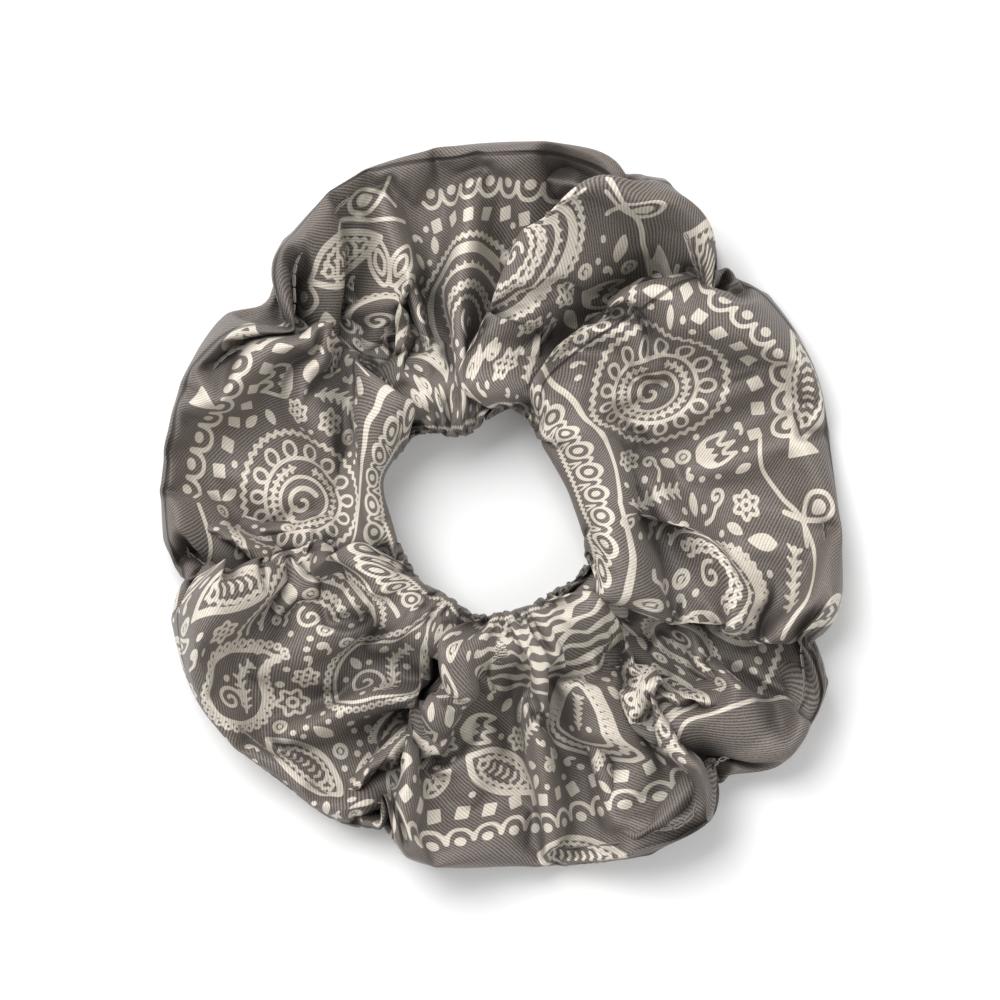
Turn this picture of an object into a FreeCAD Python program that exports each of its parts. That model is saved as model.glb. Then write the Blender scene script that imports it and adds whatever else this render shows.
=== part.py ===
"""A fabric scrunchie: a gathered twill tube round a loop of flat elastic, sewn shut with polyester thread.

Frame: millimetres, +Z up. The origin is on the loop's axis, in the plane the scrunchie rests on.
The loop opens by stretching along X, so each continuous piece is modelled as a left and a right half
that part at x = 0. The left half holds still and the right half travels along +X.
"""

import FreeCAD, Part
import Sketcher
import math
import os

from FreeCAD import Placement, Rotation, Vector

# Polar outline of the gathered tube, seen from above, one pair of radii every SECTION_STEP degrees
# counter-clockwise from +X. The hole radius is the tube's inner edge and the rim radius its outer edge.
SECTION_STEP = 15
HOLE_RADII = [16, 15, 14.5, 15, 16.5, 20, 17, 14, 16, 19.5, 18.5, 19.5,
              17, 16, 15.5, 16.5, 15.5, 16, 18.5, 17, 17.5, 17.5, 20, 18.5]
RIM_RADII = [61.5, 61, 63.5, 61, 65, 67, 65.5, 64.5, 61.5, 56.5, 58.5, 57.5,
             56.5, 56.5, 59.5, 59.5, 58, 61.5, 61.5, 62, 65.5, 66.5, 68, 64.5]
SECTIONS = len(RIM_RADII)
# Each half of the tube is swept counter-clockwise from this outline point, with one more section past
# each of its ends, so that the two halves run smoothly into each other before they are cut at x = 0.
HALVES = {"left": 90 // SECTION_STEP, "right": 270 // SECTION_STEP}
HALF_SECTIONS = 180 // SECTION_STEP

# Driving dimensions, in millimetres and degrees: alias, value, meaning.
SIZES = [
    ("cover_height", 24, "height of the puffed tube, lying flat"),
    ("pressed_depth", 0.8, "how much of the tube's underside the table presses flat"),
    ("spine_radius", 40, "middle of the tube, for the sweep's path"),
    ("wall", 0.5, "gathered twill, about two plies of cloth"),
    ("half_gap", 0.1, "each half stops this far short of x = 0"),
    ("half_reach", 80, "size of the boxes that divide the halves"),
    ("allowance_width", 6, "long seam's allowance, folded inside the tube"),
    ("allowance_thickness", 0.5, "two plies of the seam's allowance"),
    ("closing_angle", 45, "direction of the closing seam, a whole number of outline steps"),
    ("closing_depth", 4.5, "closing seam's allowance, turned inside the tube"),
    ("elastic_radius", 22.5, "middle of the elastic band's thickness, relaxed"),
    ("elastic_thickness", 1, "flat knitted elastic"),
    ("elastic_width", 6, "flat knitted elastic"),
    ("lap_angle", 15, "half the angle over which the band's two ends overlap"),
    ("lap_gap", 0.1, "space between the overlapped ends"),
    ("thread_radius", 0.15, "sewing thread"),
    ("thread_gap", 0.1, "space between a stitch and the cloth or elastic beside it"),
    ("stitch_length", 2.2, "one stitch of any seam"),
    ("seam_inset", 1.5, "long seam's stitch line, in from the tube's wall"),
    ("seam_stitches", 60, "stitches of the long seam in each half"),
    ("closing_stitches", 26, "slip stitches round the closing seam"),
    ("zigzag_stitches", 6, "zigzag stitches through the elastic's lap"),
    ("zigzag_margin", 1, "zigzag's corners, in from the band's edges"),
    ("zigzag_reach", 13, "half the angle that the zigzag covers"),
]

SHEET = "Sizes"
UPRIGHT = Rotation(Vector(1, 0, 0), 90)
NODES = []


def fill_sheet(doc):
    """The spreadsheet of driving dimensions: one row each, with the value's cell named by its alias."""
    sheet = doc.addObject("Spreadsheet::Sheet", SHEET)
    outline = []
    for k in range(SECTIONS):
        angle = k * SECTION_STEP
        outline.append((f"hole_radius_{k}", HOLE_RADII[k], f"tube's inner edge at {angle} degrees"))
        outline.append((f"rim_radius_{k}", RIM_RADII[k], f"tube's outer edge at {angle} degrees"))
    for row, (alias, value, meaning) in enumerate(SIZES + outline, start=1):
        sheet.set(f"A{row}", meaning)
        sheet.set(f"B{row}", str(value))
        sheet.setAlias(f"B{row}", alias)
    doc.recompute()
    return sheet


def bind(obj, **expressions):
    """Ties an object's properties to sheet cells. Double underscores stand for the dots of a path."""
    for path, expression in expressions.items():
        obj.setExpression(path.replace("__", "."), expression)
    return obj


def node(obj, label):
    """Marks an object as a sub-part: its label names its file."""
    obj.Label = label
    NODES.append(obj)
    return obj


def boolean(doc, kind, name, base, tool):
    """A Part boolean of two objects: Cut, Fuse or Common."""
    made = doc.addObject(f"Part::{kind}", name)
    if kind == "MultiCommon":
        made.Shapes = [base, tool]
    else:
        made.Base = base
        made.Tool = tool
    return made


def section(doc, name, k, inset):
    """One elliptical cross-section of the tube, upright in the radial plane of outline point k."""
    angle = k * SECTION_STEP
    rim, hole = f"{SHEET}.rim_radius_{k}", f"{SHEET}.hole_radius_{k}"
    half_height = f"({SHEET}.cover_height + {SHEET}.pressed_depth) / 2"
    ellipse = doc.addObject("Part::Ellipse", f"{name}_{k}")
    ellipse.Placement = Placement(Vector(), Rotation(Vector(0, 0, 1), angle) * UPRIGHT)
    return bind(
        ellipse,
        MajorRadius=f"({rim} - {hole}) / 2 - {inset}",
        MinorRadius=f"{half_height} - {inset}",
        Placement__Base__x=f"({rim} + {hole}) / 2 * cos({angle})",
        Placement__Base__y=f"({rim} + {hole}) / 2 * sin({angle})",
        Placement__Base__z=f"{SHEET}.cover_height - {half_height}",
    )


def half_spine(doc, side_name):
    """The arc that one half of the tube is swept along, one section longer at each end."""
    arc = doc.addObject("Part::Circle", f"{side_name}_spine")
    arc.Angle2 = (HALF_SECTIONS + 2) * SECTION_STEP
    turn = (HALVES[side_name] - 1) * SECTION_STEP
    arc.Placement = Placement(Vector(), Rotation(Vector(0, 0, 1), turn))
    return bind(arc, Radius=f"{SHEET}.spine_radius", Placement__Base__z=f"{SHEET}.cover_height / 2")


def half_tube(doc, spine, side_name, name, inset):
    """One half of the tube, swept through its cross-sections and shrunk by inset on every side."""
    name = f"{side_name}_{name}"
    first = HALVES[side_name] - 1
    points = [(first + i) % SECTIONS for i in range(HALF_SECTIONS + 3)]
    sweep = doc.addObject("Part::Sweep", name)
    sweep.Sections = [section(doc, f"{name}_section", k, inset) for k in points]
    sweep.Spine = (spine, ["Edge1"])
    sweep.Solid = True
    sweep.Frenet = True
    return sweep


def half_box(doc, side_name, name, floor):
    """A box over one half of the scrunchie, with its lowest z at floor."""
    start = f"{SHEET}.half_gap" if side_name == "right" else f"-{SHEET}.half_gap - {SHEET}.half_reach"
    return bind(
        doc.addObject("Part::Box", f"{side_name}_{name}"),
        Length=f"{SHEET}.half_reach",
        Width=f"2 * {SHEET}.half_reach",
        Height=f"{SHEET}.half_reach",
        Placement__Base__x=start,
        Placement__Base__y=f"-{SHEET}.half_reach",
        Placement__Base__z=floor,
    )


def long_seam_allowance(doc, spine, side_name, solid):
    """The long seam's raw edges in one half: a flat rib inside the tube, running along its rim."""
    slab = bind(
        doc.addObject("Part::Cylinder", f"{side_name}_slab"),
        Radius=f"{SHEET}.half_reach",
        Height=f"{SHEET}.allowance_thickness",
        Placement__Base__z=f"({SHEET}.cover_height - {SHEET}.allowance_thickness) / 2",
    )
    hole_side = bind(
        doc.addObject("Part::Cylinder", f"{side_name}_hole_side"),
        Radius=f"{SHEET}.spine_radius",
        Height=f"{SHEET}.half_reach",
    )
    beyond = half_tube(doc, spine, side_name, "beyond_allowance", f"{SHEET}.allowance_width")
    rib = boolean(doc, "MultiCommon", f"{side_name}_rib", solid, slab)
    rib = boolean(doc, "Cut", f"{side_name}_rib_edge", rib, beyond)
    return boolean(doc, "Cut", f"{side_name}_allowance", rib, hole_side)


def closing_allowance(doc, name, within):
    """The tube's two raw ends, turned inside at the closing seam: an upright collar across the tube."""
    k = int(sheet.closing_angle) // SECTION_STEP
    plates = []
    for part_name, inset in (("edge", f"-{SHEET}.wall"), ("mouth", f"{SHEET}.closing_depth")):
        plate = doc.addObject("Part::Extrusion", f"{name}_{part_name}_plate")
        plate.Base = section(doc, f"{name}_{part_name}", k, inset)
        plate.DirMode = "Normal"
        plate.Solid = True
        plates.append(bind(plate, LengthFwd=f"{SHEET}.wall"))
    collar = boolean(doc, "Cut", f"{name}_collar", *plates)
    return boolean(doc, "MultiCommon", name, collar, within)


def cover(doc):
    """The gathered tube: a thin shell with its seams' allowances inside, in two halves."""
    for side_name in HALVES:
        spine = half_spine(doc, side_name)
        outside = half_tube(doc, spine, side_name, "outside", "0")
        inside = half_tube(doc, spine, side_name, "inside", f"{SHEET}.wall")
        above_rest = half_box(doc, side_name, "above_rest", "0")
        above_underside = half_box(doc, side_name, "above_underside", f"{SHEET}.wall")
        solid = boolean(doc, "MultiCommon", f"{side_name}_solid", outside, above_rest)
        hollow = boolean(doc, "MultiCommon", f"{side_name}_hollow", inside, above_underside)
        shell = boolean(doc, "Cut", f"{side_name}_shell", solid, hollow)
        allowance = long_seam_allowance(doc, spine, side_name, solid)
        half = boolean(doc, "Fuse", f"{side_name}_half", shell, allowance)
        if side_name == "right":
            collar = closing_allowance(doc, "closing_allowance", solid)
            half = boolean(doc, "Fuse", "right_half_closed", half, collar)
        node(half, f"cover_{side_name}")


def band_profile(body, radius):
    """The elastic's upright rectangular section, in a sketch on the body's own XZ plane."""
    sketch = body.newObject("Sketcher::SketchObject", f"{body.Name}_profile")
    plane = next(feature for feature in body.Origin.OriginFeatures if feature.Role == "XZ_Plane")
    sketch.AttachmentSupport = (plane, [""])
    sketch.MapMode = "FlatFace"
    low, high = sheet.elastic_radius, sheet.elastic_radius + sheet.elastic_width
    corners = [Vector(low, low), Vector(high, low), Vector(high, high), Vector(low, high)]
    for i, corner in enumerate(corners):
        sketch.addGeometry(Part.LineSegment(corner, corners[(i + 1) % 4]))
    for i in range(4):
        sketch.addConstraint(Sketcher.Constraint("Coincident", i, 2, (i + 1) % 4, 1))
        sketch.addConstraint(Sketcher.Constraint("Vertical" if i % 2 else "Horizontal", i))
    dimensions = {
        "inner": (("DistanceX", -1, 1, 0, 1, low), f"{radius} - {SHEET}.elastic_thickness / 2"),
        "thickness": (("DistanceX", 0, 1, 0, 2, low), f"{SHEET}.elastic_thickness"),
        "base": (("DistanceY", -1, 1, 0, 1, low), f"({SHEET}.cover_height - {SHEET}.elastic_width) / 2"),
        "width": (("DistanceY", 1, 1, 1, 2, low), f"{SHEET}.elastic_width"),
    }
    for name, (constraint, expression) in dimensions.items():
        index = sketch.addConstraint(Sketcher.Constraint(*constraint))
        sketch.renameConstraint(index, name)
        sketch.setExpression(f"Constraints.{name}", expression)
    return sketch


def band(doc, label, radius, start, sweep, shift_x, shift_y):
    """An arc of flat elastic: its profile revolved about the loop's axis by sweep, from the angle start."""
    body = doc.addObject("PartDesign::Body", label)
    sketch = band_profile(body, radius)
    arc = body.newObject("PartDesign::Revolution", f"{label}_arc")
    arc.Profile = sketch
    arc.ReferenceAxis = (sketch, ["V_Axis"])
    bind(arc, Angle=sweep)
    body.Placement = Placement(Vector(), Rotation(Vector(0, 0, 1), 0))
    bind(body, Placement__Rotation__Angle=start, Placement__Base__x=shift_x, Placement__Base__y=shift_y)
    node(body, label)


def elastic(doc):
    """One loop of flat elastic, whose two ends lie over each other on the right, where they are sewn.

    The lap's outer end stands one step further out than its inner end, so the left half, a half circle
    that meets both, is half a step larger and half a step off centre.
    """
    step = f"({SHEET}.elastic_thickness + {SHEET}.lap_gap)"
    inner, gap, lap = f"{SHEET}.elastic_radius", f"{SHEET}.half_gap", f"{SHEET}.lap_angle"
    band(doc, "elastic_left", f"{inner} + {step} / 2", "90", "180", f"-{gap}", f"{step} / 2")
    band(doc, "elastic_right_under", inner, "-90", f"90 + {lap}", gap, "0")
    band(doc, "elastic_right_over", f"{inner} + {step}", f"-{lap}", f"90 + {lap}", gap, "0")


def polar(radius, angle, z):
    """The point at a radius and an angle in degrees about the loop's axis, at height z."""
    return Vector(radius * math.cos(math.radians(angle)), radius * math.sin(math.radians(angle)), z)


def outline(radii, angle):
    """The outline's radius at any angle, eased between its points."""
    place = (angle / SECTION_STEP) % SECTIONS
    k = int(place)
    share = (1 - math.cos(math.pi * (place - k))) / 2
    return radii[k] * (1 - share) + radii[(k + 1) % SECTIONS] * share


def outline_points(radii, inset, angle, z):
    """A point at inset from the outline, between its neighbours one degree away on each side."""
    return [polar(outline(radii, a) - inset, a, z) for a in (angle - 1, angle, angle + 1)]


def stitch(start, end):
    """One straight stitch of thread between two points."""
    return Part.makeCylinder(sheet.thread_radius, (end - start).Length, start, end - start)


def stitch_at(middle, along):
    """One stitch of the usual length, centred on a point and lying along a direction."""
    reach = along.normalize() * (sheet.stitch_length / 2)
    return stitch(middle - reach, middle + reach)


def thread(doc, label, stitches):
    """All of one thread's stitches, as a single node."""
    made = doc.addObject("Part::Feature", label)
    made.Shape = Part.makeCompound(stitches)
    made.Placement = Placement()
    return node(made, label)


def long_seam_threads(doc):
    """The long seam's lockstitch: needle thread above the allowance and bobbin thread below it.

    The stitches that would cross the closing seam are left out.
    """
    offset = sheet.allowance_thickness / 2 + sheet.thread_gap + sheet.thread_radius
    inset = sheet.wall + sheet.seam_inset
    count = int(sheet.seam_stitches)
    pitch = 180 / count
    for side_name, first in HALVES.items():
        angles = [(first * SECTION_STEP + (i + 0.5) * pitch) % 360 for i in range(count)]
        angles = [angle for angle in angles if abs(angle - sheet.closing_angle) > pitch]
        for thread_name, side in (("needle", 1), ("bobbin", -1)):
            z = sheet.cover_height / 2 + side * offset
            places = [outline_points(RIM_RADII, inset, angle, z) for angle in angles]
            stitches = [stitch_at(middle, after - before) for before, middle, after in places]
            thread(doc, f"long_seam_{thread_name}_thread_{side_name}", stitches)


def elastic_join_threads(doc):
    """The zigzag through the elastic's lap: needle thread outside the band and bobbin thread inside it."""
    clear = sheet.elastic_thickness / 2 + sheet.thread_gap + sheet.thread_radius
    outer = sheet.half_gap + sheet.elastic_radius + sheet.elastic_thickness + sheet.lap_gap + clear
    count = int(sheet.zigzag_stitches)
    swing = sheet.elastic_width / 2 - sheet.zigzag_margin
    for name, radius in (("needle", outer), ("bobbin", sheet.elastic_radius - clear)):
        corners = []
        for i in range(count + 1):
            angle = sheet.zigzag_reach * (2 * i / count - 1)
            z = sheet.cover_height / 2 + (swing if i % 2 else -swing)
            corners.append(polar(radius, angle, z))
        zigzag = [stitch(a, b) for a, b in zip(corners, corners[1:])]
        thread(doc, f"elastic_join_{name}_thread", [zigzag[0].multiFuse(zigzag[1:])])


def closing_thread(doc):
    """The closing seam's slip stitches, in a ring round the inside of the tube, beside its turned-in ends.

    The stitches that would cross the long seam's allowance are left out.
    """
    angle = sheet.closing_angle
    hole, rim = outline(HOLE_RADII, angle), outline(RIM_RADII, angle)
    inset = sheet.wall + sheet.seam_inset
    half_height = (sheet.cover_height + sheet.pressed_depth) / 2
    wide, tall = (rim - hole) / 2 - inset, half_height - inset
    middle_z = sheet.cover_height - half_height
    beside = polar(sheet.thread_gap + sheet.thread_radius, angle + 90, 0)
    count = int(sheet.closing_stitches)
    stitches = []
    for i in range(count):
        turn = math.radians((i + 0.5) * 360 / count)
        out, up = wide * math.cos(turn), tall * math.sin(turn)
        if out > 0 and abs(up) < sheet.stitch_length:
            continue
        middle = polar((rim + hole) / 2 + out, angle, middle_z + up)
        along = polar(-wide * math.sin(turn), angle, tall * math.cos(turn))
        stitches.append(stitch_at(middle + beside, along))
    thread(doc, "closing_seam_thread", stitches)


def check_and_write(doc):
    """Stops on any failed object or shape, then writes each sub-part to parts/LABEL.step."""
    for obj in doc.Objects:
        if {"Invalid", "Error"} & set(obj.State):
            raise RuntimeError(f"{obj.Name} failed: {obj.State}")
    for obj in NODES:
        if obj.Shape.isNull() or not obj.Shape.isValid() or not obj.Shape.Solids:
            raise RuntimeError(f"{obj.Label} has no valid solid")
    os.makedirs("parts", exist_ok=True)
    for obj in NODES:
        obj.Shape.exportStep(f"parts/{obj.Label}.step")
        print(obj.Label, len(obj.Shape.Solids), "solids", round(obj.Shape.Volume, 1), "mm3")


doc = FreeCAD.newDocument("scrunchie")
sheet = fill_sheet(doc)
cover(doc)
elastic(doc)
long_seam_threads(doc)
elastic_join_threads(doc)
closing_thread(doc)
doc.recompute()
check_and_write(doc)
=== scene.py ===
"""The scrunchie's looks: a cover gathered by cloth simulation, printed twill, and the elastic and threads.

Lengths are millimetres until a mesh is made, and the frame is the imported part's: +Z up, origin on the
loop's axis in the plane it rests on. The cover is one strip of cloth, sewn into a tube and then a loop.
On the strip, u runs along it and v across it: v is 0 at the hole, then over the top to the rim, and back
underneath.
"""

import math

import bpy
import numpy as np
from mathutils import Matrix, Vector


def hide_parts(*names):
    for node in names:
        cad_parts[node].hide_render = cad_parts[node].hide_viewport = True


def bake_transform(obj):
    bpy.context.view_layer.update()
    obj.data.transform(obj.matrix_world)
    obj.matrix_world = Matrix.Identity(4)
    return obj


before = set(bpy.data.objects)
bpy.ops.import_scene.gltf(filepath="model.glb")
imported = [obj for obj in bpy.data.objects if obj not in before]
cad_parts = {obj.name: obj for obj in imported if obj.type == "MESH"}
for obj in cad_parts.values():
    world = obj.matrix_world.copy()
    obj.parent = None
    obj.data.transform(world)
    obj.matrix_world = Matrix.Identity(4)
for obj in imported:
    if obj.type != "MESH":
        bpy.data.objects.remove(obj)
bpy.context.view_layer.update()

MM = 0.001

# The strip of cloth, and the grid of points that stands for it in the simulation and in the final mesh.
STRIP_LENGTH = 330.0
STRIP_WIDTH = 112.0
COLUMNS, ROWS = 240, 52
REFINE_U, REFINE_V = 6, 6

# The creases between the gathered lobes, counter-clockwise. Each has its direction at the hole and at the
# rim in degrees, how far in it is drawn at the rim in mm, and how far the next lobe (or, if negative, the
# lobe before) laps over it in mm. Then, for the lobe after it: the pinned places along its hole edge as
# shares of the lobe, and how strongly that edge bunches towards its creases.
CREASES = [
    (-27, -21, 3, 8, (0.28, 0.72), 2.2),
    (66, 45, 3, -6, (0.5,), 1.35),
    (90, 66, 2, -9, (0.3, 0.55, 0.8), 1.35),
    (132, 136, 4, 9, (0.25, 0.5, 0.75), 1.35),
    (214, 190, 2, 9, (0.3, 0.6, 0.85), 1.35),
    (268, 250, 3, 8, (0.35, 0.7), 1.35),
    (307, 313, 4, -8, (0.5,), 1.35),
]
# How much of the strip each crease takes up in mm, and which crease the loop's closing seam is beside.
CREASE_CLOTH = 9.0
CLOSING_CREASE = 1
# Smaller folds: where each starts and ends along the strip, from which to which distance from the hole
# edge it runs, and how far it laps over, towards lower u if positive, all in mm.
SMALL_FOLDS = [
    (126, 120, 12, 34, 5),
    (151, 149, 10, 30, 4),
    (290, 296, 32, 62, 5),
    (316, 320, 26, 62, -5),
    (20, 12, 12, 36, 4),
    (228, 236, 10, 30, -4),
]


# ---- Helpers on curves, grids and angles ----

def catmull_rom(a, b, c, d, t):
    """The curve from b (t = 0) to c (t = 1) that also heeds the points before and after them."""
    return b + 0.5 * ((c - a) * t + (2 * a - 5 * b + 4 * c - d) * t**2 + (3 * b - a - 3 * c + d) * t**3)


def refine(grid, factor, axis):
    """More points along one closed axis of a grid, on curves through the old ones."""
    near = [np.roll(grid, shift, axis) for shift in (1, 0, -1, -2)]
    steps = [catmull_rom(*near, t) for t in np.arange(factor) / factor]
    shape = list(grid.shape)
    shape[axis] *= factor
    return np.stack(steps, axis + 1).reshape(shape)


def smooth(points, closed=False, steps=8):
    """A curve through a few points."""
    p = np.asarray(points, float)
    n = len(p)
    t = (np.arange(steps) / steps)[:, None]
    parts = []
    for k in range(n if closed else n - 1):
        near = [(k + o) % n if closed else min(max(k + o, 0), n - 1) for o in (-1, 0, 1, 2)]
        parts.append(catmull_rom(*p[near], t))
    return np.vstack(parts if closed else parts + [p[-1:]])


def unit(vectors):
    """Vectors of length 1 in the same directions."""
    return vectors / np.maximum(np.linalg.norm(vectors, axis=-1), 1e-9)[..., None]


def smooth_round(values, width):
    """Values around a circle, along the first axis, blurred by a bell curve whose width is in samples."""
    count = len(values)
    away = np.minimum(np.arange(count), count - np.arange(count))
    bell = np.exp(-0.5 * (away / width) ** 2)
    bell = (bell / bell.sum()).reshape([count] + [1] * (np.ndim(values) - 1))
    return np.real(np.fft.ifft(np.fft.fft(values, axis=0) * np.fft.fft(bell, axis=0), axis=0))


def ease(value, low, high):
    """0 below low and 1 above high, with a smooth turn between."""
    share = np.clip((value - low) / (high - low), 0, 1)
    return share * share * (3 - 2 * share)


def around(values, angle):
    """Values at even steps round a circle, read at some angles in degrees."""
    steps = np.arange(len(values) + 1) * 360 / len(values)
    return np.interp(np.asarray(angle) % 360, steps, np.append(values, values[0]))


def polar(radius, angle):
    """The x and y of a radius and an angle in degrees."""
    return radius * np.cos(np.radians(angle)), radius * np.sin(np.radians(angle))


def to_polar(points):
    """Radius, angle in degrees and height of points."""
    x, y, z = np.moveaxis(points, -1, 0)
    return np.hypot(x, y), np.degrees(np.arctan2(y, x)), z


def from_polar(radius, angle, z):
    """Points from radius, angle in degrees and height."""
    return np.stack([*polar(radius, angle), z], -1)


def outline_of(points, sectors, blur):
    """The least and greatest radius of some points in each sector round the axis, blurred, in mm."""
    radius, angle, _ = to_polar(points)
    sector = (angle % 360 * sectors / 360).astype(int) % sectors
    least = np.full(sectors, np.inf)
    greatest = np.zeros(sectors)
    np.minimum.at(least, sector, radius)
    np.maximum.at(greatest, sector, radius)
    return smooth_round(least, blur), smooth_round(greatest, blur)


# ---- The print: cream line work on cloth ----

# The print's cell, how far from a line its cells are worked out, the distance that stands for empty
# ground, and how near a line counts as printed when a gap is looked for. All in mm.
CELL = 0.12
MARGIN = 0.8
FAR = 3.0
GAP = 0.35


def segment_distance(x, y, a, b):
    """Distance from the points (x, y) to the segment from a to b, and how far along it each is nearest."""
    ab = b - a
    t = np.clip(((x - a[0]) * ab[0] + (y - a[1]) * ab[1]) / max(ab @ ab, 1e-9), 0, 1)
    return np.hypot(x - a[0] - t * ab[0], y - a[1] - t * ab[1]), t


def rejoined(points):
    """A closed outline's points with the first again at the end."""
    return np.vstack([points, points[:1]])


class Canvas:
    """The strip's print: each cell holds its signed distance in mm to the nearest cream edge."""

    def __init__(self, length):
        self.length = length
        self.size = (round(length / CELL), round(STRIP_WIDTH / CELL))
        self.distance = np.full(self.size, FAR)

    def window(self, points, margin):
        """The cells around some points, wrapped onto the strip, and their places before wrapping."""
        low = np.floor((points.min(0) - margin) / CELL).astype(int)
        high = np.ceil((points.max(0) + margin) / CELL).astype(int)
        i, j = (np.arange(a, b + 1) for a, b in zip(low, high))
        x, y = np.meshgrid(i * CELL, j * CELL, indexing="ij")
        return np.ix_(i % self.size[0], j % self.size[1]), x, y

    def print_on(self, cells, distance):
        """Adds a shape, given its distance at some cells."""
        self.distance[cells] = np.minimum(self.distance[cells], distance)

    def stroke(self, points, width=0.6, closed=False):
        """A line through the points. Its width is one number, or one at each point."""
        points = np.asarray(points, float)
        if closed:
            points = rejoined(points)
        widths = np.broadcast_to(width, len(points))
        for k in range(len(points) - 1):
            cells, x, y = self.window(points[k:k + 2], widths[k] / 2 + MARGIN)
            d, t = segment_distance(x, y, points[k], points[k + 1])
            self.print_on(cells, d - (widths[k] * (1 - t) + widths[k + 1] * t) / 2)

    def fill(self, points):
        """A solid shape with the given corners."""
        points = np.asarray(points, float)
        cells, x, y = self.window(points, MARGIN)
        inside = np.zeros(x.shape, bool)
        d = np.full(x.shape, FAR)
        for a, b in zip(points, np.roll(points, -1, 0)):
            d = np.minimum(d, segment_distance(x, y, a, b)[0])
            crosses = (a[1] > y) != (b[1] > y)
            rise = b[1] - a[1] if abs(b[1] - a[1]) > 1e-9 else 1e-9
            inside ^= crosses & (x < a[0] + (y - a[1]) * (b[0] - a[0]) / rise)
        self.print_on(cells, np.where(inside, -d, d))

    def dot(self, x, y, r):
        """A round dot."""
        cells, gx, gy = self.window(np.array([[x, y]]), r + MARGIN)
        self.print_on(cells, np.hypot(gx - x, gy - y) - r)

    def is_empty(self, x, y, reach):
        """Whether nothing is drawn within a round window."""
        cells, gx, gy = self.window(np.array([[x, y]]), reach)
        return not np.any((self.distance[cells] < GAP) & (np.hypot(gx - x, gy - y) < reach))


def place(points, x, y, turn=0.0, size=1.0, flip=1):
    """Shape points turned, sized, mirrored if flip is -1, and moved to (x, y)."""
    p = np.asarray(points, float) * size * [flip, 1]
    c, s = math.cos(math.radians(turn)), math.sin(math.radians(turn))
    return np.stack([x + c * p[:, 0] - s * p[:, 1], y + s * p[:, 0] + c * p[:, 1]], 1)


def polar_curve(radius, start=0, end=360, steps=72):
    """Points of radius(angle in degrees), or a constant radius, about the origin."""
    a = np.linspace(start, end, steps + 1)
    r = radius(a) if callable(radius) else np.full_like(a, radius)
    return np.stack(polar(r, a), 1)


def spiral(inner, growth, turn, steps):
    """A spiral that starts at a radius and grows as it turns through an angle in degrees."""
    return polar_curve(lambda a: inner + growth * a / turn, 0, turn, steps)


def resample(points, step):
    """Points at even steps along a curve, and the curve's direction at each."""
    p = np.asarray(points, float)
    s = np.concatenate([[0], np.cumsum(np.hypot(*np.diff(p, axis=0).T))])
    n = max(int(s[-1] / step), 2)
    at = (np.arange(n) + 0.5) * s[-1] / n
    read = lambda where: np.stack([np.interp(where, s, p[:, 0]), np.interp(where, s, p[:, 1])], 1)
    return read(at), unit(read(at + 0.2) - read(at - 0.2))


def leftward(way):
    """Directions turned a quarter to the left."""
    return np.stack([-way[..., 1], way[..., 0]], -1)


def jagged(points, step, height):
    """A sawtooth line that follows a curve."""
    q, way = resample(points, step)
    return q + leftward(way) * np.where(np.arange(len(q)) % 2, height, -height)[:, None]


class Pen:
    """A canvas drawn on from one place. Shapes are sized with the pen, but widths and gaps stay in mm."""

    def __init__(self, canvas, x, y, turn=0.0, size=1.0, flip=1):
        self.canvas = canvas
        self.spot = (x, y, turn, size, flip)
        self.flip = flip

    def at(self, points):
        """Where on the canvas some points of a shape come."""
        return place(points, *self.spot)

    def stroke(self, points, width=0.6, closed=False):
        """A line, as on the canvas."""
        self.canvas.stroke(self.at(points), width, closed)

    def fill(self, points):
        """A solid shape, as on the canvas."""
        self.canvas.fill(self.at(points))

    def dot(self, r):
        """A round dot in the middle."""
        x, y, _, size, _ = self.spot
        self.canvas.dot(x, y, r * size)

    def teeth(self, points, step, height, width):
        """A sawtooth line that follows a curve."""
        self.canvas.stroke(jagged(self.at(points), step, height), width)

    def beads(self, points, gap, radius, width):
        """A row of small rings along a curve."""
        for x, y in resample(self.at(points), gap)[0]:
            self.canvas.stroke(place(polar_curve(radius, steps=10), x, y), width)

    def barbs(self, points, gap, sides, back, width):
        """Short bent strokes across a curve, from one side to the other, that point along it."""
        for at, way in zip(*resample(self.at(points), gap)):
            ends = [at + side * leftward(way) * self.flip - back * way for side in sides]
            self.canvas.stroke([ends[0], at, ends[1]], width)

    def sprig(self, points, thorn=1.7, gap=1.7, width=0.55):
        """A thorny twig: a stem with short thorns that lean towards its tip on both sides."""
        stem = smooth(self.at(points))
        self.canvas.stroke(stem, width)
        for at, way in zip(*resample(stem, gap)):
            for side in (-1, 1):
                tip = at + thorn * (0.75 * side * leftward(way) + 0.62 * way)
                self.canvas.stroke([at, tip], [width, width * 0.6])


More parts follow.
